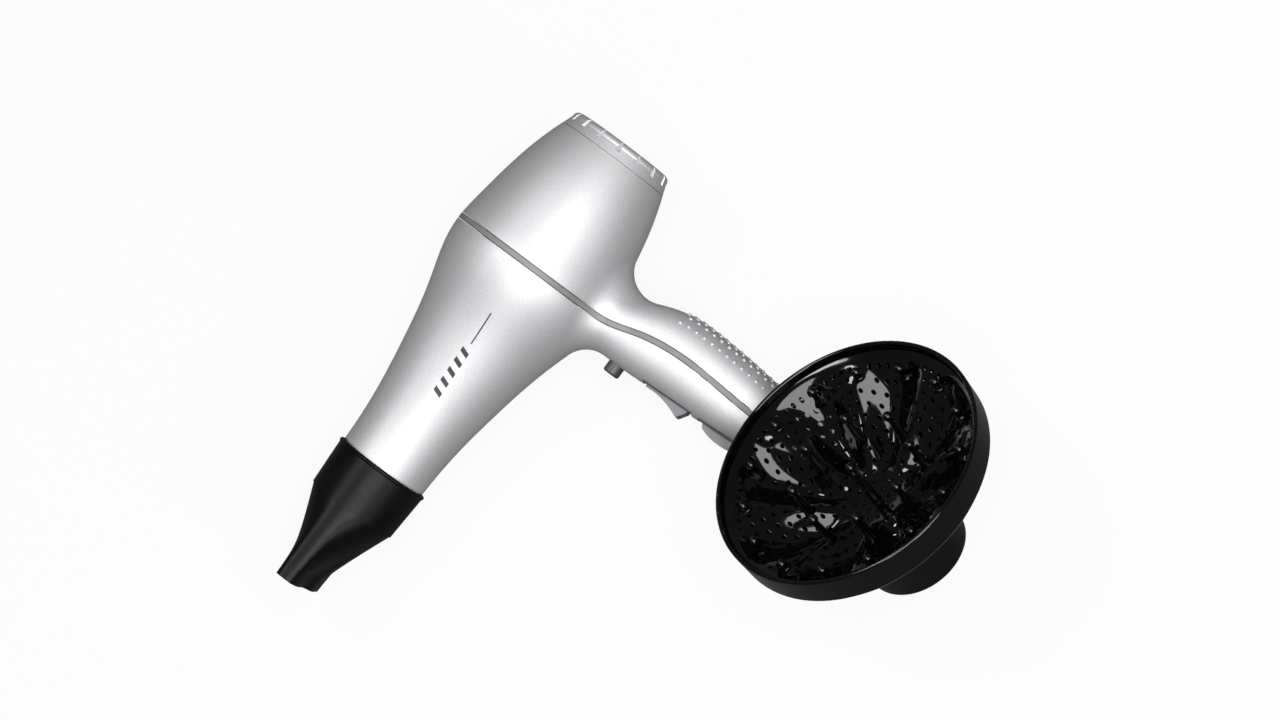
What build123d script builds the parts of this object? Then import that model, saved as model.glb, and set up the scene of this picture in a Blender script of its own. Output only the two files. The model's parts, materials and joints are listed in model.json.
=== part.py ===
"""Professional hair dryer lying on its side, with its nozzle fitted and its finger diffuser leaning on the handle.

The dryer is drawn in its own frame: X runs along the barrel towards the nozzle, Y runs down the handle and Z is
square to the handle's flat side, with the origin on the barrel's axis at the parting ring. The diffuser is drawn
upright about Z. At the end everything is laid on its side and set down on the table.
"""

import os
from math import copysign, cos, pi, radians, sin

from build123d import *

os.makedirs("parts", exist_ok=True)

# Driving dimensions, millimetres and degrees
wall = 2.4                      # casing thickness
seam = 0.25                     # open joint on each side of the parting strip
strip_width = 3.4               # parting strip, seams included
ring_radius = 46.4              # widest part of the barrel, at the parting strip
barrel_outline = [
    (-70.2, 32.4), (-45.2, 39.7), (-14.0, 44.9), (0.0, ring_radius), (12.0, 45.6), (22.4, 43.2),
    (38.0, 38.5), (69.2, 31.6), (100.4, 26.8), (128.5, 25.0),
]
barrel_rear, barrel_front = barrel_outline[0][0], barrel_outline[-1][0]
mouth_x = 148.7                 # end of the stepped mouth that the attachments push on to
mouth_radius, mouth_bore = 23.7, 21.6
push_on_gap = 0.3               # radial gap between the mouth and an attachment

handle_stations = [             # distance down the handle, front edge, rear edge, half width
    (16.0, 14.0, -22.0, 17.0), (44.0, 14.0, -21.6, 17.2), (60.0, 14.0, -21.8, 17.2),
    (74.0, 13.9, -27.2, 17.0), (88.0, 13.2, -30.0, 17.0), (104.0, 12.5, -30.0, 17.0),
    (122.0, 11.8, -28.9, 16.8), (148.0, 10.8, -26.8, 16.2), (174.0, 9.6, -25.6, 15.6),
]
handle_squareness = 2.5         # 2 is an ellipse, more is boxier
handle_end = handle_stations[-1][0]
neck_fillet = 18.0
end_fillet = 4.5
parting_line = [(0, 44), (-5.3, 69), (-9.1, 98), (-7.6, 130), (-7.2, 200)]

switch_height, switch_half_width, switch_depth = 30.4, 8.2, 17.0
switch_lean = 2.5               # the handle's front edge leans back by this
rocker_throw = 12.0             # each way from the middle
rocker_1_centre, rocker_2_centre = (12.1, 99.5), (11.05, 134.6)
pivot_depth = 4.6               # rocker pivot below the bezel
pin_radius, pin_clearance = 1.2, 0.05

button_y, button_radius, button_top = 67.0, 4.65, 20.0
button_travel = 3.5

duct_radius, duct_wall = 31.0, 1.4
motor_radius, motor_rear, motor_front = 15.6, -20.0, 22.0
shaft_radius, shaft_clearance = 1.6, 0.05
blade_count, vane_count = 9, 7

collar_front, beak_shoulder, beak_tip = 129.2, 156.5, 204.0
slot_half_width, slot_half_height = 31.0, 6.8

rim_radius, diffuser_depth, collar_radius = 72.2, 81.0, 27.8
diffuser_tilt = 37.5            # diffuser axis from the dryer's Z, towards the barrel
diffuser_heading = (-0.273, -0.962)
rim_centre = (-15.9, 202.3)     # over the dryer's own X and Y
table_gap = 0.3

lying_roll, lying_pitch = 10.84, 4.52  # table's slope across the handle and along the barrel


def superellipse(half_x, half_y, power, centre_x=0.0, points=16):
    """Closed smooth curve between an ellipse and a rounded rectangle."""
    outline = []
    for step in range(points):
        along, across = cos(2 * pi * step / points), sin(2 * pi * step / points)
        outline.append((
            centre_x + copysign(abs(along) ** (2 / power), along) * half_x,
            copysign(abs(across) ** (2 / power), across) * half_y,
        ))
    return Spline(*outline, periodic=True)


def oval(plane, half_x, half_y, power, centre_x=0.0):
    with BuildSketch(plane) as section:
        with BuildLine():
            add(superellipse(half_x, half_y, power, centre_x))
        make_face()
    return section.sketch


def handle_section(station, inset=0.0):
    y, front, rear, half_width = station
    return oval(
        Plane.XZ.offset(-y), (front - rear) / 2 - inset, half_width - inset, handle_squareness, (front + rear) / 2
    )


def handle_edges(y):
    """Front edge, rear edge and half width of the handle at y, between the stations."""
    for low, high in zip(handle_stations, handle_stations[1:]):
        if low[0] <= y <= high[0]:
            share = (y - low[0]) / (high[0] - low[0])
            return [a + (b - a) * share for a, b in zip(low[1:], high[1:])]
    return handle_stations[-1][1:]


def profile(*points):
    """Closed straight-sided outline in XY, ready to revolve or extrude."""
    with BuildSketch() as section:
        with BuildLine():
            Polyline(*points, close=True)
        make_face()
    return section.sketch


def ring(inner, outer, start, end):
    """Outline of a plain tube about X."""
    return profile((start, inner), (end, inner), (end, outer), (start, outer))


def barrel_profile(inset=0.0):
    with BuildSketch() as section:
        with BuildLine():
            Spline(*[(x, r - inset) for x, r in barrel_outline])
            Polyline((barrel_front, barrel_outline[-1][1] - inset), (barrel_front, 0), (barrel_rear, 0),
                     (barrel_rear, barrel_outline[0][1] - inset))
        make_face()
    return section.sketch


def in_front_of(shift):
    """Block of everything in front of the parting line, moved forwards by shift."""
    line = [(x + shift, y) for x, y in parting_line]
    with BuildPart() as block:
        with BuildSketch(Plane.XY.offset(-60)):
            with BuildLine():
                Line((shift, -60), line[0])
                Spline(*line, tangents=[(0, 1), (0, 1)])
                Polyline(line[-1], (260, 200), (260, -60), (shift, -60))
            make_face()
        extrude(amount=120)
    return block.part


# Casing: barrel and handle in one skin, hollowed, then parted by the strip
with BuildPart() as skin:
    revolve(barrel_profile(), axis=Axis.X)
    loft([handle_section(station) for station in handle_stations])
    neck = skin.edges().filter_by(lambda e: 30 < e.center().Y < 60 and abs(e.center().Z) > 5)
    fillet(neck, neck_fillet)
    end_rim = skin.edges().filter_by(lambda e: e.center().Y > handle_end - 1)
    fillet(end_rim, end_fillet)
    revolve(ring(0, mouth_radius, barrel_front - 1, mouth_x), axis=Axis.X)

with BuildPart() as cavity:
    revolve(barrel_profile(wall), axis=Axis.X)
    revolve(ring(0, barrel_outline[0][1] - wall, barrel_rear - 1, barrel_rear + 1), axis=Axis.X)
    revolve(ring(0, mouth_bore, barrel_front - 1, mouth_x + 1), axis=Axis.X)
    inside = [(min(y, handle_end - wall), front, rear, width) for y, front, rear, width in handle_stations]
    loft([handle_section(station, wall) for station in inside])

with BuildPart() as casing:
    add(skin)
    add(cavity, mode=Mode.SUBTRACT)

switch_planes = [
    Plane(origin=(x, y, 0), x_dir=(cos(radians(switch_lean)), sin(radians(switch_lean)), 0), z_dir=(0, 0, 1))
    for x, y in (rocker_1_centre, rocker_2_centre)
]
gland_axis = Plane(origin=(parting_line[-1][0], 0, 0), x_dir=(1, 0, 0), z_dir=(0, 1, 0))
screw_rows = (79.4, 154.8)
boss_radius, screw_radius, head_radius = 3.6, 1.5, 2.8

with BuildPart() as front_housing:
    add(casing)
    add(in_front_of(strip_width / 2 + seam / 2), mode=Mode.INTERSECT)
    for y in screw_rows:
        front, rear, width = handle_edges(y)
        with BuildSketch(Plane.YZ.offset(parting_line[2][0] + 4)):
            with Locations((y, 0)):
                Circle(boss_radius)
        extrude(amount=front - wall / 2 - parting_line[2][0] - 4)
        with BuildSketch(Plane.YZ.offset(-10)):
            with Locations((y, 0)):
                Circle(screw_radius + 0.2)
        extrude(amount=40, mode=Mode.SUBTRACT)
        with BuildSketch(Plane.YZ.offset(front - wall - 0.8)):
            with Locations((y, 0)):
                Circle(head_radius + 0.3)
        extrude(amount=20, mode=Mode.SUBTRACT)
    for plane in switch_planes:
        with BuildSketch(plane):
            Rectangle(24, switch_height + 0.2)
        extrude(amount=switch_half_width + 0.1, both=True, mode=Mode.SUBTRACT)
    with BuildSketch(Plane.YZ.offset(5)):
        with Locations((button_y, 0)):
            Circle(button_radius + 0.3)
    extrude(amount=20, mode=Mode.SUBTRACT)
    with BuildSketch(gland_axis.offset(handle_end - 20)):
        Circle(6.3)
    extrude(amount=30, mode=Mode.SUBTRACT)
front_housing.part.label = "front_housing"

with BuildPart() as rear_housing:
    add(casing)
    add(in_front_of(-strip_width / 2 - seam / 2), mode=Mode.SUBTRACT)
    for y in screw_rows:
        front, rear, width = handle_edges(y)
        with BuildSketch(Plane.YZ.offset(rear + wall / 2)):
            with Locations((y, 0)):
                Circle(boss_radius)
        extrude(amount=parting_line[2][0] - 4 - rear - wall / 2)
        with BuildSketch(Plane.YZ.offset(rear + wall + 1)):
            with Locations((y, 0)):
                Circle(screw_radius + 0.05)
        extrude(amount=40, mode=Mode.SUBTRACT)
    with BuildSketch(gland_axis.offset(handle_end - 20)):
        Circle(6.3)
    extrude(amount=30, mode=Mode.SUBTRACT)
rear_housing.part.label = "rear_housing"

with BuildPart() as parting_strip:
    add(casing)
    add(in_front_of(-strip_width / 2 + seam / 2), mode=Mode.INTERSECT)
    add(in_front_of(strip_width / 2 - seam / 2), mode=Mode.SUBTRACT)
    with BuildSketch(gland_axis.offset(handle_end - 20)):
        Circle(6.3)
    extrude(amount=30, mode=Mode.SUBTRACT)
parting_strip.part.label = "parting_strip"


# Rear intake cap with its grille, and the mesh filter behind it
cap_seam, cap_face, cap_edge_radius = barrel_rear - 0.3, -79.6, 27.6
spigot_radius, grille_bars, grille_rings, notch_count = 29.4, 8, (9.5, 14.0, 18.5, 23.0), 16
with BuildPart() as rear_cap:
    with BuildSketch():
        with BuildLine():
            Polyline((cap_seam, 0), (cap_seam, 32.2), (-76.2, 30.2))
            ThreePointArc((-76.2, 30.2), (-78.9, 29.0), (cap_face, cap_edge_radius - 0.6))
            Polyline((cap_face, cap_edge_radius - 0.6), (cap_face + 1.2, cap_edge_radius - 2.6),
                     (cap_face + 1.2, 0), (cap_seam, 0))
        make_face()
    revolve(axis=Axis.X)
    with BuildSketch(Plane.YZ.offset(cap_face + 3.4)):
        Circle(cap_edge_radius - 1.4)
    extrude(amount=20, mode=Mode.SUBTRACT)
    revolve(ring(cap_edge_radius - 1.4, spigot_radius, cap_seam - 1, cap_seam + 6.5), axis=Axis.X)
    with BuildSketch(Plane.YZ.offset(cap_face - 1)):
        Circle(cap_edge_radius - 3.2)
        Circle(4.5, mode=Mode.SUBTRACT)
        for middle in grille_rings:
            Circle(middle + 0.7, mode=Mode.SUBTRACT)
            Circle(middle - 0.7)
        Circle(4.5, mode=Mode.SUBTRACT)
        with PolarLocations(0, grille_bars):
            Rectangle(2 * cap_edge_radius, 1.5, mode=Mode.SUBTRACT)
    extrude(amount=6, mode=Mode.SUBTRACT)
    with BuildSketch(Plane.YZ.offset(cap_face - 1)):
        with PolarLocations(cap_edge_radius + 2.6, notch_count, start_angle=11.25):
            Triangle(a=3.4, b=3.4, c=3.4, rotation=90)
    extrude(amount=6.4, mode=Mode.SUBTRACT)
rear_cap.part.label = "rear_cap"

with BuildPart() as intake_filter:
    with BuildSketch(Plane.YZ.offset(-75.6)):
        Circle(25.8)
        for radius, count in ((6, 6), (11, 12), (16, 18), (21, 24)):
            with PolarLocations(radius, count):
                Circle(1.7, mode=Mode.SUBTRACT)
    extrude(amount=0.8)
intake_filter.part.label = "intake_filter"

# Fan duct with the motor pocket held on swept vanes
hub_radius, duct_rear, duct_front = 17.0, -56.0, 24.0
with BuildPart() as fan_duct:
    revolve(ring(duct_radius - duct_wall, duct_radius, duct_rear, duct_front), axis=Axis.X)
    revolve(ring(duct_radius - 0.5, 42.2, -12.5, -10.0), axis=Axis.X)
    revolve(ring(motor_radius + 0.3, hub_radius, motor_rear - 2, duct_front), axis=Axis.X)
    with BuildSketch(Plane.YZ.offset(motor_rear + 2)):
        with PolarLocations((hub_radius + duct_radius) / 2 - 0.4, vane_count):
            Rectangle(duct_radius - hub_radius, 1.4)
    extrude(amount=34)
fan_duct.part.label = "fan_duct"

# Motor: can, magnets, armature and commutator on the shaft, bushes, brush plate and brushes
bush_radius, bush_length, can_wall = 4.0, 4.0, 1.2
with BuildPart() as motor_can:
    revolve(ring(0, motor_radius, motor_rear, motor_front), axis=Axis.X)
    revolve(ring(0, bush_radius + can_wall, motor_rear - 2.5, motor_rear), axis=Axis.X)
    revolve(ring(0, motor_radius - can_wall, motor_rear + can_wall, motor_front + 1), axis=Axis.X, mode=Mode.SUBTRACT)
    revolve(ring(0, bush_radius, motor_rear - 3, motor_rear + 2), axis=Axis.X, mode=Mode.SUBTRACT)
motor_can.part.label = "motor_can"

with BuildPart() as motor_magnets:
    with BuildSketch(Plane.YZ.offset(-14)):
        Circle(motor_radius - can_wall)
        Circle(11.6, mode=Mode.SUBTRACT)
        Rectangle(40, 10, mode=Mode.SUBTRACT)
    extrude(amount=25)
motor_magnets.part.label = "motor_magnets"

with BuildPart() as motor_shaft:
    with BuildSketch(Plane.YZ.offset(-45.5)):
        Circle(shaft_radius)
    extrude(amount=71)
motor_shaft.part.label = "motor_shaft"

with BuildPart() as armature:
    with BuildSketch(Plane.YZ.offset(-13)):
        Circle(11.0)
        Circle(shaft_radius, mode=Mode.SUBTRACT)
        with PolarLocations(8.0, 5):
            SlotOverall(7.5, 2.4, mode=Mode.SUBTRACT)
    extrude(amount=23)
armature.part.label = "armature"

with BuildPart() as commutator:
    with BuildSketch(Plane.YZ.offset(12)):
        Circle(4.4)
        Circle(shaft_radius, mode=Mode.SUBTRACT)
        with PolarLocations(4.4, 5):
            Rectangle(1.6, 0.5, mode=Mode.SUBTRACT)
    extrude(amount=7.5)
commutator.part.label = "commutator"

with BuildPart() as brush_plate:
    revolve(ring(0, motor_radius - can_wall - 0.05, motor_front - 1.8, motor_front), axis=Axis.X)
    revolve(ring(0, bush_radius + can_wall, motor_front, motor_front + 2.5), axis=Axis.X)
    revolve(ring(0, bush_radius, motor_front - 3, motor_front + 4), axis=Axis.X, mode=Mode.SUBTRACT)
    with BuildSketch(Plane.YZ.offset(motor_front - 6.9)):
        with PolarLocations(9.4, 2):
            Rectangle(7.0, 4.8)
            Rectangle(9.0, 3.1, mode=Mode.SUBTRACT)
    extrude(amount=5.2)
brush_plate.part.label = "brush_plate"

with BuildPart() as brushes:
    with BuildSketch(Plane.YZ.offset(motor_front - 6.6)):
        with PolarLocations(8.2, 2):
            Rectangle(7.0, 2.9)
    extrude(amount=3.6)
brushes.part.label = "brushes"

bushes = []
for name, start in (("rear_bush", motor_rear - 2.3), ("front_bush", motor_front - 1.7)):
    with BuildPart() as bush:
        revolve(ring(shaft_radius + shaft_clearance, bush_radius, start, start + bush_length), axis=Axis.X)
    bush.part.label = name
    bushes.append(bush.part)

# Axial impeller, pressed on the shaft
with BuildPart() as impeller:
    with BuildSketch(Plane.XY):
        with BuildLine():
            Line((-48, 0), (-48, 4))
            ThreePointArc((-48, 4), (-44.5, 9.6), (-38, 12))
            Polyline((-38, 12), (-30.5, 12), (-30.5, 0), (-48, 0))
        make_face()
    revolve(axis=Axis.X)
    for blade in range(blade_count):
        turn = 360 / blade_count * blade
        root = Plane.XZ.rotated((turn, 0, 0)).offset(-11)
        with BuildSketch(root):
            with Locations((-38.5, 0)):
                Rectangle(1.5, 15, rotation=-52)
        extrude(amount=17.8, dir=-root.z_dir)
    with BuildSketch(Plane.YZ.offset(-47)):
        Circle(shaft_radius)
    extrude(amount=20, mode=Mode.SUBTRACT)
impeller.part.label = "impeller"

# Heater: sleeve, crossed mica boards, coils in their notches, thermostat and fuse
coil_count, coil_pitch, first_coil, coil_radius, wire_radius = 9, 7.0, 72.0, 17.6, 0.8
sleeve_points = [(24.6, 30.9), (30, 30.6), (58, 21.2), (138, 21.2)]
with BuildPart() as heat_shield:
    with BuildSketch():
        with BuildLine():
            Spline(*sleeve_points[:3], tangents=[(1, 0), (1, 0)])
            Line(sleeve_points[2], sleeve_points[3])
            Line(sleeve_points[3], (sleeve_points[3][0], 20.6))
            Line((sleeve_points[3][0], 20.6), (58, 20.6))
            Spline((58, 20.6), (30, 30.0), (24.6, 30.3), tangents=[(-1, 0), (-1, 0)])
            Line((24.6, 30.3), sleeve_points[0])
        make_face()
    revolve(axis=Axis.X)
heat_shield.part.label = "heat_shield"

with BuildPart() as mica_former:
    for plane in (Plane.XY, Plane.XZ):
        with BuildSketch(plane):
            with Locations((100, 0)):
                Rectangle(68, 40.4)
            with Locations(*[(first_coil + coil * coil_pitch, side * 20.2)
                             for coil in range(coil_count) for side in (-1, 1)]):
                Rectangle(2.0, 7.4, mode=Mode.SUBTRACT)
        extrude(amount=0.4, both=True)
mica_former.part.label = "mica_former"

with BuildPart() as heater_coils:
    with Locations(*[Location((first_coil + coil * coil_pitch, 0, 0), (0, 90, 0)) for coil in range(coil_count)]):
        Torus(coil_radius, wire_radius)
heater_coils.part.label = "heater_coils"

with BuildPart() as thermostat:
    with Locations((76, 6, 3.4)):
        Box(12, 7, 5)
    with Locations((76, 6, 6.1)):
        Box(14, 4, 0.8)
thermostat.part.label = "thermostat"

with BuildPart() as thermal_fuse:
    with BuildSketch(Plane.YZ.offset(88)):
        with Locations((-6, -2.6)):
            Circle(1.7)
    extrude(amount=11)
    with BuildSketch(Plane.YZ.offset(82)):
        with Locations((-6, -2.6)):
            Circle(0.5)
    extrude(amount=23)
thermal_fuse.part.label = "thermal_fuse"

with BuildPart() as outlet_grille:
    with BuildSketch(Plane.YZ.offset(141)):
        for outer, inner in ((mouth_bore - 0.1, 19.9), (15.6, 14.4), (10.4, 9.2), (5.2, 2.2)):
            Circle(outer)
            Circle(inner, mode=Mode.SUBTRACT)
    extrude(amount=2.4)
    with BuildSketch(Plane.YZ.offset(141)):
        with PolarLocations((mouth_bore + 4) / 2, 6):
            Rectangle(mouth_bore - 5, 1.3)
    extrude(amount=2.4)
outlet_grille.part.label = "outlet_grille"

# Cool-shot button, its return spring and the micro-switch that it presses
flange_top = 10.3
with BuildPart() as cool_button:
    with BuildSketch(Plane.YZ.offset(flange_top - 1.6)):
        with Locations((button_y, 0)):
            Circle(6.3)
    extrude(amount=1.6)
    with BuildSketch(Plane.YZ.offset(flange_top - 3.2)):
        with Locations((button_y, 0)):
            Circle(2.0)
    extrude(amount=3)
    with BuildSketch(Plane.YZ.offset(flange_top - 0.2)):
        with Locations((button_y, 0)):
            Circle(button_radius)
    extrude(amount=button_top - flange_top + 0.2)
    fillet(cool_button.edges().group_by(Axis.X)[-1], 1.3)
cool_button.part.label = "cool_button"

with BuildPart() as cool_switch:
    with Locations((-3, button_y, 0)):
        Box(10, 12.8, 6.4)
    with Locations((2.6, button_y, 0)):
        Cylinder(1.0, 2.0, rotation=(0, 90, 0))
cool_switch.part.label = "cool_switch"

spring_seat, spring_turns = 2.4, 4
spring_room = flange_top - 1.6 - spring_seat
with BuildPart() as cool_spring:
    with BuildLine() as coil:
        Helix(spring_room / (spring_turns + 0.3), spring_room - 0.9, 3.4,
              center=(spring_seat + 0.45, button_y, 0), direction=(1, 0, 0))
    with BuildSketch(Plane(origin=coil.line @ 0, z_dir=coil.line % 0)):
        Circle(0.35)
    sweep(is_frenet=True)
cool_spring.part.label = "cool_spring"

# Two rocker switches: body with bezel, and the rocker on its own pin
switch_bodies, rockers = [], []
switch_rows = (  # name, plane, how proud the ends are, how proud the middle is, tilt at rest
    ("1", switch_planes[0], 3.8, 2.3, -rocker_throw),
    ("2", switch_planes[1], 2.3, 4.8, 0.0),
)
for name, plane, end_height, middle_height, tilt in switch_rows:
    with BuildPart() as body:
        with BuildSketch(plane):
            with Locations((-switch_depth / 2, 0)):
                Rectangle(switch_depth, switch_height)
            with Locations((-5.8, 0)):
                Rectangle(11.8, switch_height - 1.8, mode=Mode.SUBTRACT)
        extrude(amount=6.4, both=True)
        for side in (-1, 1):
            wall_plane = plane.offset(side * 6.4)
            with BuildSketch(wall_plane):
                with Locations((-switch_depth / 2, 0)):
                    Rectangle(switch_depth, switch_height)
                with Locations((-pivot_depth, 0)):
                    Circle(pin_radius + pin_clearance, mode=Mode.SUBTRACT)
            extrude(amount=side * (switch_half_width - 6.4))
        with BuildSketch(plane):
            with Locations((-switch_depth - 2.4, -9), (-switch_depth - 2.4, 0), (-switch_depth - 2.4, 9)):
                Rectangle(5.0, 4.6)
        extrude(amount=0.4, both=True)
    body.part.label = f"switch_{name}_body"
    switch_bodies.append(body.part)

    pivot = plane.location * Location((-pivot_depth, 0, 0), (0, 0, tilt))
    top, middle = end_height + pivot_depth, middle_height + pivot_depth
    with BuildPart() as rocker:
        with BuildSketch(Plane(pivot)):
            with BuildLine():
                Polyline((-2, 12.9), (3, 13.5), (top, 11.2))
                ThreePointArc((top, 11.2), (middle, 0), (top, -11.2))
                Polyline((top, -11.2), (3, -13.5), (-2, -12.9))
                ThreePointArc((-2, -12.9), (-5.2, 0), (-2, 12.9))
            make_face()
        extrude(amount=6.0, both=True)
        with BuildSketch(Plane(pivot)):
            Circle(pin_radius)
        extrude(amount=switch_half_width - 0.2, both=True)
    rocker.part.label = f"rocker_{name}"
    rockers.append(rocker.part)

# Suppressor capacitor, cord gland, cord clamp and screws
with BuildPart() as capacitor:
    with Locations((-19.6, 98, 0)):
        Box(9, 18, 15)
    fillet(capacitor.edges(), 0.8)
capacitor.part.label = "capacitor"

gland_bore, gland_in, gland_out = 4.2, 5.6, 2.6
with BuildPart() as cord_gland:
    with BuildSketch(gland_axis.offset(handle_end - gland_in)):
        Circle(8.2)
    extrude(amount=gland_in - wall - 0.1)
    with BuildSketch(gland_axis.offset(handle_end - gland_in)):
        Circle(6.1)
    extrude(amount=gland_in + gland_out)
    with BuildSketch(gland_axis.offset(handle_end + 0.1)):
        Circle(8.8)
    extrude(amount=gland_out - 0.1)
    fillet(cord_gland.edges().group_by(Axis.Y)[-1], 1.2)
    with BuildSketch(gland_axis.offset(handle_end - 10)):
        Circle(gland_bore)
    extrude(amount=20, mode=Mode.SUBTRACT)
cord_gland.part.label = "cord_gland"

clamp_y, clamp_x = 162.5, parting_line[-1][0]
clamp_bars = []
for name, side in (("cord_clamp_top", 1), ("cord_clamp_base", -1)):
    with BuildPart() as bar:
        with Locations((clamp_x, clamp_y, side * 4.6)):
            Box(20, 6, 5.2)
        with BuildSketch(Plane.XZ.offset(-clamp_y)):
            with Locations((clamp_x, 0)):
                Circle(4.1)
        extrude(amount=6, both=True, mode=Mode.SUBTRACT)
        with Locations((clamp_x - 7.4, clamp_y, 0), (clamp_x + 7.4, clamp_y, 0)):
            Cylinder(screw_radius + 0.1, 40, mode=Mode.SUBTRACT)
    bar.part.label = name
    clamp_bars.append(bar.part)

with BuildPart() as clamp_screws:
    with Locations((clamp_x - 7.4, clamp_y, 0.8), (clamp_x + 7.4, clamp_y, 0.8)):
        Cylinder(screw_radius, 15)
    with Locations((clamp_x - 7.4, clamp_y, 8.3), (clamp_x + 7.4, clamp_y, 8.3)):
        Cylinder(head_radius, 2)
clamp_screws.part.label = "clamp_screws"

with BuildPart() as housing_screws:
    for y in screw_rows:
        front, rear, width = handle_edges(y)
        seat = front - wall - 0.8
        with BuildSketch(Plane.YZ.offset(seat)):
            with Locations((y, 0)):
                Circle(head_radius)
        extrude(amount=1.8)
        with BuildSketch(Plane.YZ.offset(seat - 30)):
            with Locations((y, 0)):
                Circle(screw_radius)
        extrude(amount=30)
        with BuildSketch(Plane.YZ.offset(seat + 0.9)):
            with Locations((y, 0)):
                Rectangle(3.4, 0.8)
                Rectangle(0.8, 3.4)
        extrude(amount=2, mode=Mode.SUBTRACT)
housing_screws.part.label = "housing_screws"

# Concentrator nozzle: round collar, then straight flanks to a flat slot
nozzle_wall, lip_length, collar_bite = 1.8, 8.5, 0.6
push_on_bore, stop_bore, push_on_depth = mouth_radius + push_on_gap, 22.4, mouth_x + 0.5
beak_outside = (
    (beak_shoulder - collar_bite, 24.8, 24.8, 2),
    (beak_tip - lip_length, slot_half_height + 0.2, slot_half_width, 4.5),
    (beak_tip, slot_half_height - 0.2, slot_half_width, 4.5),
)
beak_inside = (
    (beak_shoulder - collar_bite, 23.2, 23.2, 2),
    (beak_tip - lip_length, slot_half_height - nozzle_wall, slot_half_width - nozzle_wall, 4.5),
    (beak_tip + 1, slot_half_height - nozzle_wall, slot_half_width - nozzle_wall, 4.5),
)
with BuildPart() as nozzle:
    for sections, mode in ((beak_outside, Mode.ADD), (beak_inside, Mode.SUBTRACT)):
        for (x, *size), (next_x, *next_size) in zip(sections, sections[1:]):
            loft([oval(Plane.YZ.offset(x), *size), oval(Plane.YZ.offset(next_x), *next_size)], ruled=True, mode=mode)
    with BuildSketch():
        with BuildLine():
            ThreePointArc((collar_front, 25.9), (collar_front + 1.1, 26.9), (collar_front + 2.2, 26.3))
            Polyline((collar_front + 2.2, 26.3), (beak_shoulder, 25.0), (beak_shoulder, stop_bore),
                     (push_on_depth, stop_bore), (push_on_depth, push_on_bore), (collar_front, push_on_bore),
                     (collar_front, 25.9))
        make_face()
    revolve(axis=Axis.X)
nozzle.part.label = "nozzle"

# Diffuser, upright about Z with its rim at z = 0: bowl, perforated dish with fingers, soft grip ring
bowl_wall, band_depth, collar_length, collar_wall = 2.2, 16.5, 26.0, 1.6
belly_outside, belly_inside = (55.3, -34.6), (53.8, -33.0)
collar_root = collar_length - diffuser_depth
with BuildPart() as diffuser_bowl:
    with BuildSketch(Plane.XZ):
        with BuildLine():
            ThreePointArc((rim_radius - bowl_wall, -0.6), (rim_radius - 1.1, 0), (rim_radius, -0.9))
            Line((rim_radius, -0.9), (rim_radius - 0.6, -band_depth))
            ThreePointArc((rim_radius - 0.6, -band_depth), belly_outside, (collar_radius + 1.5, collar_root))
            Polyline((collar_radius + 1.5, collar_root), (collar_radius, -diffuser_depth),
                     (collar_radius - collar_wall, -diffuser_depth), (collar_radius - collar_wall, collar_root + 1.5))
            ThreePointArc((collar_radius - collar_wall, collar_root + 1.5), belly_inside,
                          (rim_radius - bowl_wall - 0.6, -band_depth + 1))
            Line((rim_radius - bowl_wall - 0.6, -band_depth + 1), (rim_radius - bowl_wall, -0.6))
        make_face()
    revolve(axis=Axis.Z)
diffuser_bowl.part.label = "diffuser_bowl"

dish_radius, dish_floor, dish_thickness = 69.2, -36.0, 2.0
dish_belly, dish_edge = (35.5, -28.85), (dish_radius, -4.5)
finger_rings = ((0.0, 1, 0.0), (32.5, 8, 23.0), (60.0, 15, 11.5))  # radius, count, first angle
finger_tip, ball_radius, finger_foot = -7.0, 2.7, 2.6
with BuildPart() as diffuser_dish:
    with BuildSketch(Plane.XZ):
        with BuildLine():
            ThreePointArc((0, dish_floor), dish_belly, dish_edge)
            Line(dish_edge, (dish_radius, dish_edge[1] - dish_thickness))
            ThreePointArc((dish_radius, dish_edge[1] - dish_thickness), (dish_belly[0], dish_belly[1] - dish_thickness),
                          (0, dish_floor - dish_thickness))
            Line((0, dish_floor - dish_thickness), (0, dish_floor))
        make_face()
    revolve(axis=Axis.Z)
    with BuildSketch(Plane.XY.offset(-60)):
        for radius, count in ((9, 9), (16, 16), (23, 22), (46, 40)):
            with PolarLocations(radius, count):
                Circle(1.2)
    extrude(amount=60, mode=Mode.SUBTRACT)
    for radius, count, first in finger_rings:
        floor = dish_floor + 21 * (radius / 58) ** 2 - 2.4
        with BuildSketch(Plane.XY.offset(floor)):
            with PolarLocations(radius, count, start_angle=first):
                Circle(finger_foot)
        extrude(amount=finger_tip - floor, taper=2)
        with PolarLocations(radius, count, start_angle=first):
            with Locations((0, 0, finger_tip)):
                Sphere(ball_radius)
diffuser_dish.part.label = "diffuser_dish"

grip_inner = mouth_radius + push_on_gap
with BuildPart() as diffuser_grip:
    with BuildSketch(Plane.XY.offset(-diffuser_depth + 0.8)):
        Circle(collar_radius - 1.65)
        Circle(grip_inner, mode=Mode.SUBTRACT)
    extrude(amount=16)
diffuser_grip.part.label = "diffuser_grip"

# Everything laid on its side: the diffuser leans over the handle and its collar stands on the table
dryer_pieces = [
    front_housing.part, rear_housing.part, parting_strip.part, rear_cap.part, intake_filter.part,
    fan_duct.part, motor_can.part, motor_magnets.part, motor_shaft.part, armature.part, commutator.part,
    brush_plate.part, brushes.part, *bushes, impeller.part, heat_shield.part, mica_former.part,
    heater_coils.part, thermostat.part, thermal_fuse.part, outlet_grille.part, cool_button.part,
    cool_switch.part, cool_spring.part, *switch_bodies, *rockers, capacitor.part, cord_gland.part, *clamp_bars,
    clamp_screws.part, housing_screws.part, nozzle.part,
]
diffuser_pieces = [diffuser_bowl.part, diffuser_dish.part, diffuser_grip.part]

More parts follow.
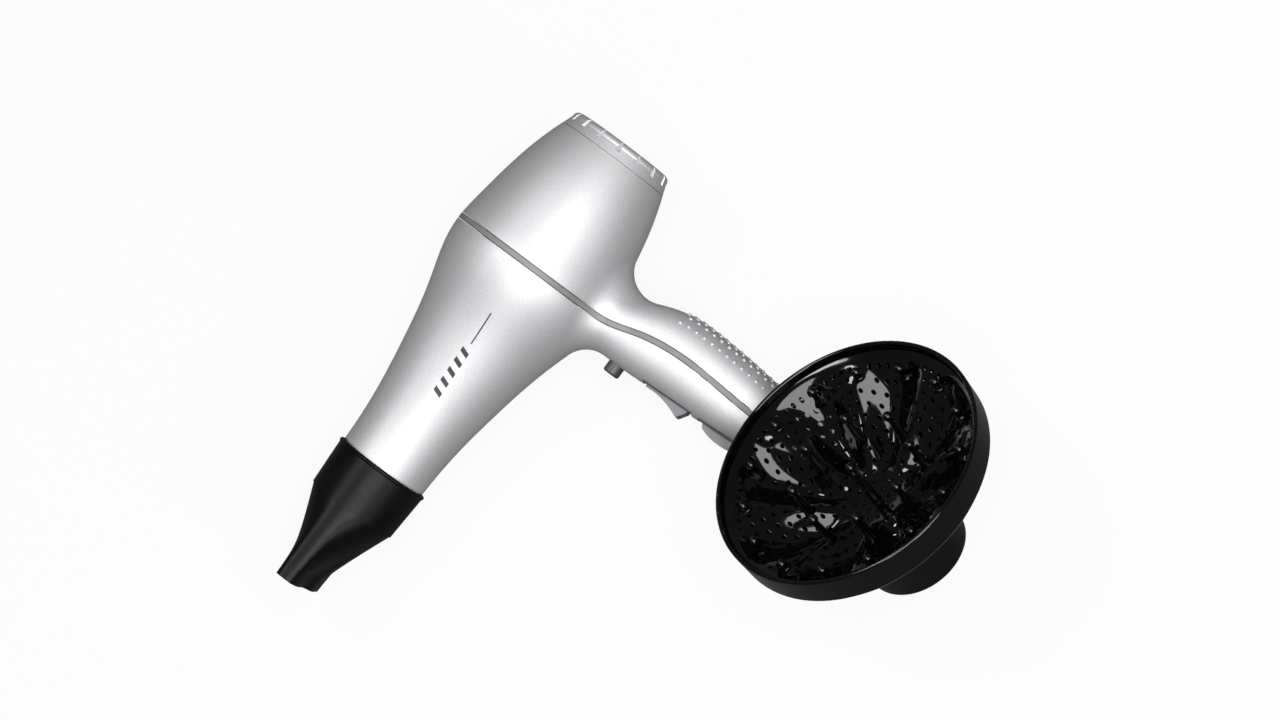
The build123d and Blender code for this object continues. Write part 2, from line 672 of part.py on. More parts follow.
laid_down = Location((0, 0, 0), (-lying_roll, 0, 0)) * Location((0, 0, 0), (0, lying_pitch, 0))
lowest = min((laid_down * piece).bounding_box().min.Z for piece in dryer_pieces)

lean = radians(diffuser_tilt)
heading = Vector(*diffuser_heading).normalized()
opening = heading * sin(lean) + Vector(0, 0, cos(lean))
level = Plane(origin=(*rim_centre, 0), x_dir=opening.cross(Vector(0, 0, 1)), z_dir=opening)
collar_low = (laid_down * (level.location * diffuser_bowl.part)).bounding_box().min.Z
rise = (lowest + table_gap - collar_low) / (laid_down * Location((0, 0, 1))).position.Z
leaning = Location((0, 0, rise)) * level.location

placed = [laid_down * piece for piece in dryer_pieces] + [laid_down * (leaning * piece) for piece in diffuser_pieces]
labels = [piece.label for piece in dryer_pieces + diffuser_pieces]
everything = Compound(children=[piece.moved(Location()) for piece in placed]).bounding_box()
to_origin = Location((-everything.center().X, -everything.center().Y, -everything.min.Z))

for label, piece in zip(labels, placed):
    piece = piece.moved(to_origin)
    piece.label = label
    export_step(piece, f"parts/{label}.step")
print("overall", everything.size, "lift of the diffuser", rise)
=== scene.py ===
import json
from math import atan2, cos, hypot, pi, radians, sin

import bpy
from mathutils import Matrix, Vector


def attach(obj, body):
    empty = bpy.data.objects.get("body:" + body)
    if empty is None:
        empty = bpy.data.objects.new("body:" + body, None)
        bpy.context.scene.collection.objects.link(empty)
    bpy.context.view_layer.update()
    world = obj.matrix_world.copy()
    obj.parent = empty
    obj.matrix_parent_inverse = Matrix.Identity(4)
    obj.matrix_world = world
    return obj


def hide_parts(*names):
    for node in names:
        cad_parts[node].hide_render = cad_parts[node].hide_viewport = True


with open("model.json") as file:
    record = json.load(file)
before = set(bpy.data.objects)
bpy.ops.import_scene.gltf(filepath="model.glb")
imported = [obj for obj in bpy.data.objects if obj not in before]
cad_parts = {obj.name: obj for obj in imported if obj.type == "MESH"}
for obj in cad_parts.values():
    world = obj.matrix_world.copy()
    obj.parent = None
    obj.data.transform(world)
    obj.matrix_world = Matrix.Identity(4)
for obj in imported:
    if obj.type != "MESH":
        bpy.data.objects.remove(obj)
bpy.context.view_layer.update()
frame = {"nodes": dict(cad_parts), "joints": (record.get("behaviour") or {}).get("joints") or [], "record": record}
nodes = frame["nodes"]
print("frame loaded:", len(nodes), "nodes")

mm = 0.001  # metres in a millimetre

# The dryer's own axes: along the barrel, down the handle, square to the handle's flat side
jointNamed = {joint["name"]: joint for joint in frame["joints"]}
mountNamed = {mount["name"]: mount for mount in frame["record"]["mounts"]}
barrelAxis = Vector(jointNamed["impeller_spin"]["axis"]).normalized()
sideAxis = Vector(jointNamed["rocker_1_tilt"]["axis"]).normalized()
handleAxis = sideAxis.cross(barrelAxis).normalized()
barrelOrigin = Vector(jointNamed["impeller_spin"]["pos_m"])

# The diffuser's axes, with its rim plane at zero
collar = mountNamed["diffuser_collar"]
openingAxis = -Vector(collar["axis"]).normalized()
rimAcross = openingAxis.cross(sideAxis).normalized()
rimUp = openingAxis.cross(rimAcross)
collarToRim = 72.2  # mm along the diffuser, from the collar's mount to the rim plane
rimCentre = Vector(collar["pos_m"]) + openingAxis * collarToRim * mm


def axesMatrix(origin, x, y, z):
    rotation = Matrix((x, y, z)).transposed()
    return Matrix.Translation(origin) @ rotation.to_4x4() @ Matrix.Scale(mm, 4)


dryerFrame = axesMatrix(barrelOrigin, barrelAxis, handleAxis, sideAxis)  # dryer millimetres to metres
diffuserFrame = axesMatrix(rimCentre, rimAcross, rimUp, openingAxis)  # diffuser millimetres to metres


# Materials

def srgb(code):  # hex colour to the linear values that shaders take
    channels = [int(code[i:i + 2], 16) / 255 for i in (1, 3, 5)]
    return [c / 12.92 if c <= 0.04045 else ((c + 0.055) / 1.055) ** 2.4 for c in channels] + [1.0]


# Adds a node with its settings and links, and a colour ramp's stops: a position and a colour each
def addNode(tree, kind, settings=None, links=None, stops=()):
    node = tree.nodes.new(kind)
    for key, value in (settings or {}).items():
        if key in node.inputs:
            node.inputs[key].default_value = value
        else:
            setattr(node, key, value)
    for key, source in (links or {}).items():
        tree.links.new(source, node.inputs[key])
    for index, (position, code) in enumerate(stops):
        node.color_ramp.elements[index].position = position
        node.color_ramp.elements[index].color = srgb(code)
    return node


def newMaterial(name):
    material = bpy.data.materials.new(name)
    material.use_nodes = True
    tree = material.node_tree
    tree.nodes.clear()
    return material, tree


mottle = (0.35, 0.65)  # where a faint mottle turns from its dark to its light colour

silverPaint = {
    "dark": "#D2D2D5", "light": "#E4E4E6",
    "flakeMm": 0.45,  # real flakes are under 0.1 mm, drawn coarser so that they show
    "flakeDepthMm": 0.006, "flakeStrength": 0.5,
    "cloudMm": 30, "roughness": (0.54, 0.6),
    "metallic": 0.7, "coat": 0.15, "coatRoughness": 0.3,
}


# Metallic lacquer sprayed on ABS: aluminium flakes that spread the light softly under a thin satin coat
def silverLacquer():
    material, tree = newMaterial("silverLacquerOnAbs")
    place = addNode(tree, "ShaderNodeTexCoord").outputs["Object"]
    flakes = addNode(tree, "ShaderNodeTexNoise", {"Scale": 1 / (silverPaint["flakeMm"] * mm), "Detail": 3},
                     {"Vector": place}).outputs["Fac"]
    colour = addNode(tree, "ShaderNodeValToRGB", links={"Fac": flakes},
                     stops=zip(mottle, (silverPaint["dark"], silverPaint["light"]))).outputs["Color"]
    cloud = addNode(tree, "ShaderNodeTexNoise", {"Scale": 1 / (silverPaint["cloudMm"] * mm), "Detail": 4},
                    {"Vector": place}).outputs["Fac"]
    low, high = silverPaint["roughness"]
    roughness = addNode(tree, "ShaderNodeMapRange", {"To Min": low, "To Max": high}, {"Value": cloud})
    bump = addNode(tree, "ShaderNodeBump",
                   {"Distance": silverPaint["flakeDepthMm"] * mm, "Strength": silverPaint["flakeStrength"]},
                   {"Height": flakes})
    shader = addNode(
        tree, "ShaderNodeBsdfPrincipled",
        {"Metallic": silverPaint["metallic"], "Coat Weight": silverPaint["coat"],
         "Coat Roughness": silverPaint["coatRoughness"]},
        {"Base Color": colour, "Roughness": roughness.outputs["Result"], "Normal": bump.outputs["Normal"]})
    addNode(tree, "ShaderNodeOutputMaterial", links={"Surface": shader.outputs["BSDF"]})
    return material


plastic = {"mottleMm": 14, "glossMm": 6}  # flow marks of a moulding, and the patches that hands polish


# Anything moulded or pressed from powder or pellets: a faint mottle, patchy gloss and the mould's fine grain
def moulded(name, dark, light, roughness, grainMm, grainDepthMm, ior=1.53, specular=0.5):
    material, tree = newMaterial(name)
    place = addNode(tree, "ShaderNodeTexCoord").outputs["Object"]
    cloud = addNode(tree, "ShaderNodeTexNoise", {"Scale": 1 / (plastic["mottleMm"] * mm), "Detail": 3},
                    {"Vector": place}).outputs["Fac"]
    colour = addNode(tree, "ShaderNodeValToRGB", links={"Fac": cloud}, stops=zip(mottle, (dark, light)))
    patches = addNode(tree, "ShaderNodeTexNoise", {"Scale": 1 / (plastic["glossMm"] * mm), "Detail": 4},
                      {"Vector": place}).outputs["Fac"]
    gloss = addNode(tree, "ShaderNodeMapRange", {"To Min": roughness[0], "To Max": roughness[1]},
                    {"Value": patches})
    grain = addNode(tree, "ShaderNodeTexNoise", {"Scale": 1 / (grainMm * mm), "Detail": 2},
                    {"Vector": place}).outputs["Fac"]
    bump = addNode(tree, "ShaderNodeBump", {"Distance": grainDepthMm * mm, "Strength": 1.0},
                   {"Height": grain})
    shader = addNode(
        tree, "ShaderNodeBsdfPrincipled", {"IOR": ior, "Specular IOR Level": specular},
        {"Base Color": colour.outputs["Color"], "Roughness": gloss.outputs["Result"],
         "Normal": bump.outputs["Normal"]})
    addNode(tree, "ShaderNodeOutputMaterial", links={"Surface": shader.outputs["BSDF"]})
    return material


metalLines = {"widthMm": 0.25, "stretch": (0.08, 1.0, 1.0), "depthMm": 0.01, "strength": 0.4}


# Bare metal, rolled, sintered or turned: fine lines run one way and pull the highlight out across them
def bareMetal(name, dark, light, roughness):
    material, tree = newMaterial(name)
    place = addNode(tree, "ShaderNodeTexCoord").outputs["Object"]
    stretched = addNode(tree, "ShaderNodeMapping", {"Scale": metalLines["stretch"]},
                        {"Vector": place}).outputs["Vector"]
    lines = addNode(tree, "ShaderNodeTexNoise", {"Scale": 1 / (metalLines["widthMm"] * mm), "Detail": 3},
                    {"Vector": stretched}).outputs["Fac"]
    colour = addNode(tree, "ShaderNodeValToRGB", links={"Fac": lines}, stops=zip(mottle, (dark, light)))
    gloss = addNode(tree, "ShaderNodeMapRange", {"To Min": roughness[0], "To Max": roughness[1]},
                    {"Value": lines})
    bump = addNode(tree, "ShaderNodeBump",
                   {"Distance": metalLines["depthMm"] * mm, "Strength": metalLines["strength"]},
                   {"Height": lines})
    shader = addNode(
        tree, "ShaderNodeBsdfPrincipled", {"Metallic": 1.0},
        {"Base Color": colour.outputs["Color"], "Roughness": gloss.outputs["Result"],
         "Normal": bump.outputs["Normal"]})
    addNode(tree, "ShaderNodeOutputMaterial", links={"Surface": shader.outputs["BSDF"]})
    return material


wire = {
    "pitchMm": 0.9,  # real cloth is about 0.4 mm, drawn coarser so that the openings show
    "openings": "#0A0A0B", "wires": "#8E9093", "edge": (0.3, 0.45),
    "roughness": (0.3, 0.55), "metallic": 0.9, "depthMm": 0.2,
}


# Woven stainless filter cloth: bright wires with dark openings between them
def wovenMesh():
    material, tree = newMaterial("wovenSteelMesh")
    place = addNode(tree, "ShaderNodeTexCoord").outputs["Object"]
    weave = addNode(tree, "ShaderNodeTexVoronoi", {"Scale": 1 / (wire["pitchMm"] * mm), "Randomness": 0.0},
                    {"Vector": place}).outputs["Distance"]
    colour = addNode(tree, "ShaderNodeValToRGB", links={"Fac": weave},
                     stops=zip(wire["edge"], (wire["openings"], wire["wires"])))
    low, high = wire["roughness"]
    gloss = addNode(tree, "ShaderNodeMapRange", {"To Min": low, "To Max": high}, {"Value": weave})
    bump = addNode(tree, "ShaderNodeBump", {"Distance": wire["depthMm"] * mm, "Strength": 1.0},
                   {"Height": weave})
    shader = addNode(
        tree, "ShaderNodeBsdfPrincipled", {"Metallic": wire["metallic"]},
        {"Base Color": colour.outputs["Color"], "Roughness": gloss.outputs["Result"],
         "Normal": bump.outputs["Normal"]})
    addNode(tree, "ShaderNodeOutputMaterial", links={"Surface": shader.outputs["BSDF"]})
    return material


# painted shade at the strip's edges: how far it reaches, its dark colour, and the normal agreement over which it
# fades in
seamShade = {"reachMm": 0.9, "colour": "#39393B", "turned": (0.97, 0.999)}


# Painted shade in the narrow gaps where the grey strip meets the two shells, found where a rounded edge would turn
# away
def paintSeamShade(material):
    tree = material.node_tree
    shader = next(n for n in tree.nodes if n.type == "BSDF_PRINCIPLED")
    colour = shader.inputs["Base Color"].links[0].from_socket
    rounded = addNode(tree, "ShaderNodeBevel", {"Radius": seamShade["reachMm"] * mm}).outputs["Normal"]
    flat = addNode(tree, "ShaderNodeNewGeometry").outputs["Normal"]
    agree = addNode(tree, "ShaderNodeVectorMath", {"operation": "DOT_PRODUCT"}, {0: rounded, 1: flat})
    low, high = seamShade["turned"]
    middle = addNode(tree, "ShaderNodeMapRange", {"From Min": low, "From Max": high},
                     {"Value": agree.outputs["Value"]})
    colourA, colourB, colourOut = 6, 7, 2  # the mix node's colour sockets, as their names aren't theirs alone
    # mixes the painted shade colour into the strip's base colour near its edges
    mixed = addNode(tree, "ShaderNodeMix", {"data_type": "RGBA"},
                    {"Factor": middle.outputs["Result"], colourB: colour})
    mixed.inputs[colourA].default_value = srgb(seamShade["colour"])
    tree.links.new(mixed.outputs[colourOut], shader.inputs["Base Color"])


finishes = {
    "silver_shell": silverLacquer(),
    # ABS moulded and left unpainted: an even mid grey with a soft sheen
    "grey_trim": moulded("satinGreyAbs", "#7E7E80", "#8A8A8C", (0.38, 0.48), 0.5, 0.01),
    # glass-filled nylon, moulded: fibres at the surface make it a dull near-black
    "black_moulding": moulded("blackGlassFilledNylon", "#1A1A1B", "#232324", (0.5, 0.62), 0.5, 0.03),
    # phenolic pressed in a fine-blasted mould: deep black with a low, broad highlight
    "black_satin": moulded("blackSatinPhenolic", "#050505", "#090909", (0.32, 0.42), 0.7, 0.012,
                           specular=0.18),
    # ABS moulded in a polished mould: sharp reflections, a little wavy from shrinkage
    "black_gloss": moulded("blackPolishedAbs", "#030303", "#050505", (0.05, 0.1), 2.5, 0.006,
                           specular=0.45),
    # ABS switch rockers with a spark-eroded texture: light grey and even
    "switch_grey": moulded("greySwitchAbs", "#76767A", "#828286", (0.36, 0.46), 0.4, 0.012),
    # ABS button with the same texture, moulded darker
    "button_grey": moulded("darkGreyButtonAbs", "#38383A", "#444446", (0.34, 0.44), 0.4, 0.012),
    # rolled steel sheet and drawn bar: cool grey, fairly bright
    "steel": bareMetal("rolledSteel", "#9A9B9E", "#B9BABD", (0.25, 0.4)),
    # ferrite pressed and sintered like a ceramic: dull charcoal
    "ferrite": moulded("sinteredFerrite", "#2A2A2D", "#36363A", (0.55, 0.7), 0.3, 0.03),
    # bronze powder, sintered and soaked in oil: warm brown and soft
    "bronze": bareMetal("sinteredBronze", "#8A6336", "#A87C47", (0.4, 0.55)),
    # copper bars turned true: bright and reddish
    "copper": bareMetal("turnedCopper", "#B0623A", "#C9774B", (0.25, 0.4)),
    # mica flakes pressed into board: tan with a patchy shine
    "mica": moulded("pressedMicaSheet", "#A1926C", "#B8AA86", (0.3, 0.5), 3.0, 0.03),
    # polyester case of a film capacitor: plain yellow
    "capacitor_yellow": moulded("yellowPolyesterCase", "#C79A1E", "#D3A82E", (0.3, 0.4), 1.0, 0.01),
    # moulded rubber: black and matt
    "rubber": moulded("blackMouldedRubber", "#121212", "#1A1A1A", (0.6, 0.75), 0.5, 0.02, ior=1.52),
}
# paints shade along the edges of the grey strip, where it meets the shells
paintSeamShade(finishes["grey_trim"])
filterCloth = wovenMesh()
printInk = moulded("darkGreyPadPrint", "#2B2B2D", "#333336", (0.4, 0.5), 0.4, 0.004)  # thin pad-printed ink

for part in frame["record"]["subparts"]:
    mesh = nodes[part["node"]].data
    finish = filterCloth if part["node"] == "intake_filter" else finishes[part["material_slot"]]
    mesh.materials.clear()
    mesh.materials.append(finish)
print("finishes made:", len(finishes) + 2)


# Makes a piece from millimetre points in one of the two frames, riding on a body
def addPiece(name, vertices, faces, place, body, material):
    mesh = bpy.data.meshes.new(name)
    mesh.from_pydata([place @ Vector(v) for v in vertices], [], faces)
    mesh.validate()
    mesh.update()
    for polygon in mesh.polygons:
        polygon.use_smooth = True
    mesh.materials.append(material)
    piece = bpy.data.objects.new(name, mesh)
    bpy.context.scene.collection.objects.link(piece)
    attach(piece, body)
    return piece


# Grip pips: little domes in staggered rows over the back of the handle, in dryer millimetres
grip = {
    "rows": 7, "perRow": 12, "pitch": 5.0, "rowPitch": 4.5, "firstY": 83.0,
    "radius": 1.15, "height": 0.95, "sunk": 0.25, "rings": 4, "sides": 14, "search": 6.0,
}
# The handle's sections: distance down it, its front and back edges, and half its width
handleSections = [
    (60.0, 14.0, -21.8, 17.2), (74.0, 13.9, -27.2, 17.0), (88.0, 13.2, -30.0, 17.0),
    (104.0, 12.5, -30.0, 17.0), (122.0, 11.8, -28.9, 16.8), (148.0, 10.8, -26.8, 16.2),
    (174.0, 9.6, -25.6, 15.6),
]
handleSquareness = 2.5  # 2 would be an ellipse


def handleBack(y, z):  # point on the back of the handle, at a height down it and a distance off its middle
    for low, high in zip(handleSections, handleSections[1:]):
        if low[0] <= y <= high[0]:
            share = (y - low[0]) / (high[0] - low[0])
            front, rear, width = (a + (b - a) * share for a, b in zip(low[1:], high[1:]))
    bulge = (1 - abs(z / width) ** handleSquareness) ** (1 / handleSquareness)
    return Vector(((front + rear) / 2 - (front - rear) / 2 * bulge, y, z))


def outwardsAt(y, z):  # which way the back of the handle faces there
    step = 0.2
    along = handleBack(y, z + step) - handleBack(y, z - step)
    outwards = Vector((-along.z, 0, along.x)).normalized()
    return -outwards if outwards.x > 0 else outwards


def findShell(target, inwards):  # where a ray from outside meets the rear housing, or None
    reach = grip["search"]
    back = dryerFrame.inverted()
    start = dryerFrame @ (target - inwards * reach)
    direction = (dryerFrame.to_3x3() @ inwards).normalized()
    hit, spot, normal, _ = nodes["rear_housing"].ray_cast(start, direction, distance=2 * reach * mm)
    return (back @ spot, (back.to_3x3() @ normal).normalized()) if hit else (None, None)


def addDome(vertices, faces, centre, normal):  # one pip, its foot a little under the shell
    rings, sides = grip["rings"], grip["sides"]
    side = normal.cross(Vector((0, 1, 0))).normalized()
    up = normal.cross(side)
    first = len(vertices)
    for ring in range(rings):
        lift = ring / rings * pi / 2
        flat = grip["radius"] * cos(lift)
        rise = grip["height"] * sin(lift) if ring else -grip["sunk"]
        for step in range(sides):
            turn = 2 * pi * step / sides
            vertices.append(centre + side * flat * cos(turn) + up * flat * sin(turn) + normal * rise)
    top = len(vertices)
    vertices.append(centre + normal * grip["height"])
    for ring in range(rings - 1):
        for step in range(sides):
            a, b = first + ring * sides + step, first + ring * sides + (step + 1) % sides
            faces.append((a, b, b + sides, a + sides))
    last = first + (rings - 1) * sides
    faces += [(last + step, last + (step + 1) % sides, top) for step in range(sides)]
    faces.append([first + step for step in reversed(range(sides))])


def gripPips():
    vertices, faces = [], []
    for row in range(grip["rows"]):
        z = (row - (grip["rows"] - 1) / 2) * grip["rowPitch"]
        for place in range(grip["perRow"]):
            y = grip["firstY"] + (place + (row % 2) / 2) * grip["pitch"]
            centre, normal = findShell(handleBack(y, z), -outwardsAt(y, z))
            if centre is not None:
                addDome(vertices, faces, centre, normal)
    return addPiece("grip_pips", vertices, faces, dryerFrame, "dryer",
                    finishes["silver_shell"])


pips = gripPips()
print("grip pips:", len(pips.data.polygons), "faces")


# Diffuser dish: petals that rise and fall round the bowl, pierced all over, with a finger on each post
dish = {
    "radius": 69.2, "rimZ": -4.5, "floorZ": -36.0, "curve": 2.1, "thickness": 1.6,
    "petals": 8, "petalHeight": 5.0, "petalTurn": 20.0,
    "petalFrom": 14.0, "petalRise": 20.0, "petalFade": 14.0,
    "holeRadius": 1.15, "holeSides": 12, "cell": 5.2, "firstRing": 4.0, "plainFrom": 66.0,
    "arcSteps": 480, "cellsAround": (6, 8, 10, 12, 16, 20, 24, 30, 32, 40, 48, 60, 80, 96),
}
# Rings of fingers: the ring's radius, how many, and the first one's bearing in degrees
fingers = {
    "rings": ((0.0, 1, 0.0), (32.5, 8, 23.0), (60.0, 15, 11.5)),
    "tipZ": -7.0, "ball": 2.7, "neck": 1.5, "foot": 2.6, "sides": 20,
    "root": 1.0, "flare": 1.0, "flareRise": 1.8, "taper": 0.3, "neckFrom": 6.0,
    "ballSteps": 10, "neckInBall": 0.86, "flatTip": 0.05, "clearOfHoles": 1.4,
}


def clamp(share):
    return max(0.0, min(1.0, share))


def dishHeight(r, turn):
    bowl = dish["floorZ"] + (dish["rimZ"] - dish["floorZ"]) * min(1.0, r / dish["radius"]) ** dish["curve"]
    grow = clamp((r - dish["petalFrom"]) / dish["petalRise"])
    grow *= clamp((dish["radius"] - r) / dish["petalFade"])
    grow = grow * grow * (3 - 2 * grow)  # eases the petals in and out
    return bowl + dish["petalHeight"] * grow * cos(dish["petals"] * (turn - radians(dish["petalTurn"])))


def dishPoint(r, turn):
    return Vector((r * cos(turn), r * sin(turn), dishHeight(r, turn)))


def dishNormal(r, turn):  # from points a short step away along the radius and round it
    step = 0.3
    radial = dishPoint(r + step, turn) - dishPoint(max(r - step, 0.0), turn)
    r = max(r, 0.5)
    around = dishPoint(r, turn + step / r) - dishPoint(r, turn - step / r)
    return radial.cross(around).normalized()


class DishMesh:  # the sheet's top and underside, where patches share the points that have the same key
    def __init__(self):
        self.vertices, self.normals, self.faces, self.known = [], [], [], {}

    def vertex(self, r, turn, under=False, key=None):
        if key and (key, under) in self.known:
            return self.known[key, under]
        normal = dishNormal(r, turn)
        point = dishPoint(r, turn)
        self.vertices.append(point - normal * dish["thickness"] if under else point)
        self.normals.append(-normal if under else normal)
        if key:
            self.known[key, under] = len(self.vertices) - 1
        return len(self.vertices) - 1

    def face(self, corners, under):
        self.faces.append(corners[::-1] if under else corners)


def ringKey(r, step):  # names a point on a ring, so that patches on both sides of it share it
    return round(r, 3), step % dish["arcSteps"]


def plainPatch(sheet, outline, count):
    for under in (False, True):
        ring = [sheet.vertex(r, turn, under, key) for r, turn, key in outline]
        for i in range(count):
            sheet.face((ring[2 * count + 1 - i], ring[2 * count - i], ring[i + 1], ring[i]), under)


# Triangles from a patch's outline in to a round hole through its middle
def piercedPatch(sheet, outline, middleR, middleTurn):
    radial = Vector((cos(middleTurn), sin(middleTurn)))
    across = Vector((-radial.y, radial.x))
    centre = radial * middleR
    sides, holeRadius = dish["holeSides"], dish["holeRadius"]

    def bearing(r, turn):
        away = Vector((r * cos(turn), r * sin(turn))) - centre
        return atan2(away.dot(across), away.dot(radial)) % (2 * pi)

    hole = []
    for i in range(sides):
        angle = 2 * pi * i / sides
        spot = centre + radial * cos(angle) * holeRadius + across * sin(angle) * holeRadius
        hole.append((hypot(spot.x, spot.y), atan2(spot.y, spot.x), angle))
    outer = sorted(((bearing(r, turn), r, turn, key) for r, turn, key in outline), key=lambda o: o[0])
    loops = {}
    for under in (False, True):
        outside = [sheet.vertex(r, turn, under, key) for _, r, turn, key in outer]
        inside = [sheet.vertex(r, turn, under) for r, turn, _ in hole]
        loops[under] = inside
        i, j, total = 0, 0, len(outside)
        while i < total or j < sides:  # steps round both loops, always on the one that is behind
            nextOut = outer[(i + 1) % total][0] + (2 * pi if i + 1 >= total else 0)
            nextIn = hole[(j + 1) % sides][2] + (2 * pi if j + 1 >= sides else 0)
            if j >= sides or (i < total and nextOut <= nextIn):
                sheet.face((outside[i % total], outside[(i + 1) % total], inside[j % sides]), under)
                i += 1
            else:
                sheet.face((outside[i % total], inside[(j + 1) % sides], inside[j % sides]), under)
                j += 1
    for i in range(sides):
        after = (i + 1) % sides
        sheet.faces.append((loops[False][i], loops[True][i], loops[True][after], loops[False][after]))


def dishRings():  # each ring's inner and outer radius, how many patches it holds, and whether they have holes
    rings, r = [], dish["firstRing"]
    while r < dish["plainFrom"] - 1:
        outer = r + dish["cell"]
        wanted = pi * (r + outer) / dish["cell"]
        rings.append((r, outer, min(dish["cellsAround"], key=lambda c: abs(c - wanted)), True))
        r = outer
    rings.append((r, dish["radius"], max(dish["cellsAround"]), False))
    return rings


def fingerPlaces():
    for ring, count, start in fingers["rings"]:
        for i in range(count):
            yield ring, radians(start) + 2 * pi * i / count


def underFinger(r, turn):
    x, y = r * cos(turn), r * sin(turn)
    near = fingers["foot"] + fingers["clearOfHoles"]
    return any(hypot(x - ring * cos(angle), y - ring * sin(angle)) < near for ring, angle in fingerPlaces())


def diffuserDish():
    sheet = DishMesh()
    steps = dish["arcSteps"]
    rings = dishRings()
    for index, (r0, r1, count, pierced) in enumerate(rings):
        span = steps // count
        middleR = (r0 + r1) / 2
        for cell in range(count):
            first = cell * span + (span // 2 if index % 2 else 0)  # every other ring is half a patch on
            turns = [2 * pi * (first + i) / steps for i in range(span + 1)]
            outline = [(r0, turns[i], ringKey(r0, first + i)) for i in range(span + 1)]
            outline += [(r1, turns[i], ringKey(r1, first + i)) for i in range(span, -1, -1)]
            middleTurn = (turns[0] + turns[-1]) / 2
            if pierced and not underFinger(middleR, middleTurn):
                piercedPatch(sheet, outline, middleR, middleTurn)
            else:
                plainPatch(sheet, outline, span)
    for under in (False, True):  # the plain middle
        centre = sheet.vertex(0.01, 0.0, under)
        ring = [sheet.known[ringKey(rings[0][0], i), under] for i in range(steps)]
        for i in range(steps):
            sheet.face((centre, ring[i], ring[(i + 1) % steps]), under)
    top, bottom = ([sheet.known[ringKey(dish["radius"], i), under] for i in range(steps)]
                   for under in (False, True))
    for i in range(steps):  # the closed edge
        after = (i + 1) % steps
        sheet.faces.append((top[i], bottom[i], bottom[after], top[after]))
    piece = addPiece("dish_petals", sheet.vertices, sheet.faces, diffuserFrame, "diffuser",
                     finishes["black_gloss"])
    turned = [(diffuserFrame.to_3x3() @ normal).normalized() for normal in sheet.normals]
    piece.data.normals_split_custom_set_from_vertices(turned)
    return piece


def fingerOutline(floor):  # a finger's (radius, height) points, from its foot in the dish to its ball
    tip, ball, neck, foot = fingers["tipZ"], fingers["ball"], fingers["neck"], fingers["foot"]
    ballFrom = -pi / 3  # below the ball's middle, where the neck meets it
    outline = [
        (foot + fingers["flare"], floor), (foot, floor + fingers["flareRise"]),
        (neck + fingers["taper"], tip - fingers["neckFrom"]), (neck, tip - ball * fingers["neckInBall"]),
    ]
    for step in range(1, fingers["ballSteps"]):
        lift = ballFrom + step / fingers["ballSteps"] * (pi / 2 - ballFrom)
        outline.append((ball * cos(lift), tip + ball * sin(lift)))
    return outline + [(fingers["flatTip"], tip + ball)]


def addTurned(vertices, faces, outline, x, y):  # a turned shape standing on a local point
    sides, base = fingers["sides"], len(vertices)
    for r, z in outline:
        for i in range(sides):
            vertices.append(Vector((x + r * cos(2 * pi * i / sides), y + r * sin(2 * pi * i / sides), z)))
    for level in range(len(outline) - 1):
        for i in range(sides):
            a, b = base + level * sides + i, base + level * sides + (i + 1) % sides
            faces.append((a, b, b + sides, a + sides))
    faces.append([base + i for i in reversed(range(sides))])
    faces.append([base + (len(outline) - 1) * sides + i for i in range(sides)])


def diffuserFingers():
    vertices, faces = [], []
    for ring, angle in fingerPlaces():
        outline = fingerOutline(dishHeight(ring, angle) - fingers["root"])
        addTurned(vertices, faces, outline, ring * cos(angle), ring * sin(angle))
    return addPiece("dish_fingers", vertices, faces, diffuserFrame, "diffuser",
                    finishes["black_gloss"])


petals = diffuserDish()
pins = diffuserFingers()
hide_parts("diffuser_dish")
print("dish:", len(petals.data.polygons), "faces, fingers:", len(pins.data.polygons), "faces")


# Printed mark on the barrel: five slanted bars and a thin rule, standing for the maker's print
mark = {
    "bars": 5, "firstX": 82.0, "pitch": 6.1, "barWidth": 2.6, "slant": 1.8, "lowY": 3.6, "highY": 8.4,
    "ruleX": (50.0, 31.0), "ruleY": 6.0, "ruleWidth": 0.7, "inkHeight": 0.05, "castFrom": 70.0,
}


# A patch lying on the barrel between two edges, each a pair of points along the barrel and round it
def printedPatch(vertices, faces, left, right, across, along):
    inverse = dryerFrame.inverted()
    first = len(vertices)
    for i in range(along + 1):
        start, end = (Vector(a).lerp(Vector(b), i / along) for a, b in (left, right))
        for j in range(across + 1):
            spot = start.lerp(end, j / across)
            origin = dryerFrame @ Vector((spot.x, spot.y, mark["castFrom"]))
            _, point, normal, _ = nodes["front_housing"].ray_cast(origin, -sideAxis)
            vertices.append(inverse @ point + (inverse.to_3x3() @ normal).normalized() * mark["inkHeight"])
    for i in range(along):
        for j in range(across):
            a = first + i * (across + 1) + j
            faces.append((a, a + 1, a + across + 2, a + across + 1))


def barrelMark():
    vertices, faces = [], []
    for bar in range(mark["bars"]):
        x = mark["firstX"] - bar * mark["pitch"]
        near = ((x, mark["highY"]), (x - mark["slant"], mark["lowY"]))
        far = tuple((a - mark["barWidth"], b) for a, b in near)
        printedPatch(vertices, faces, near, far, across=3, along=6)
    (x0, x1), y, thick = mark["ruleX"], mark["ruleY"], mark["ruleWidth"]
    printedPatch(vertices, faces, ((x0, y), (x1, y)), ((x0, y + thick), (x1, y + thick)), across=1, along=24)
    return addPiece("barrel_mark", vertices, faces, dryerFrame, "dryer", printInk)


ink = barrelMark()
print("barrel mark:", len(ink.data.polygons), "faces")


# Camera: over the dryer's flat side and a little towards the handle's end, barrel climbing to the upper right
view = {
    "centre": (4.8, 72.4, -14.1),  # what it looks at, in dryer millimetres
    "distance": 2.2, "width": 0.6656,  # metres, the width being what it takes in at the centre
    "barrelTurn": 53.25, "sideTurn": 11.0,  # degrees
    "sensorMm": 36.0, "clip": (0.05, 20.0),
}


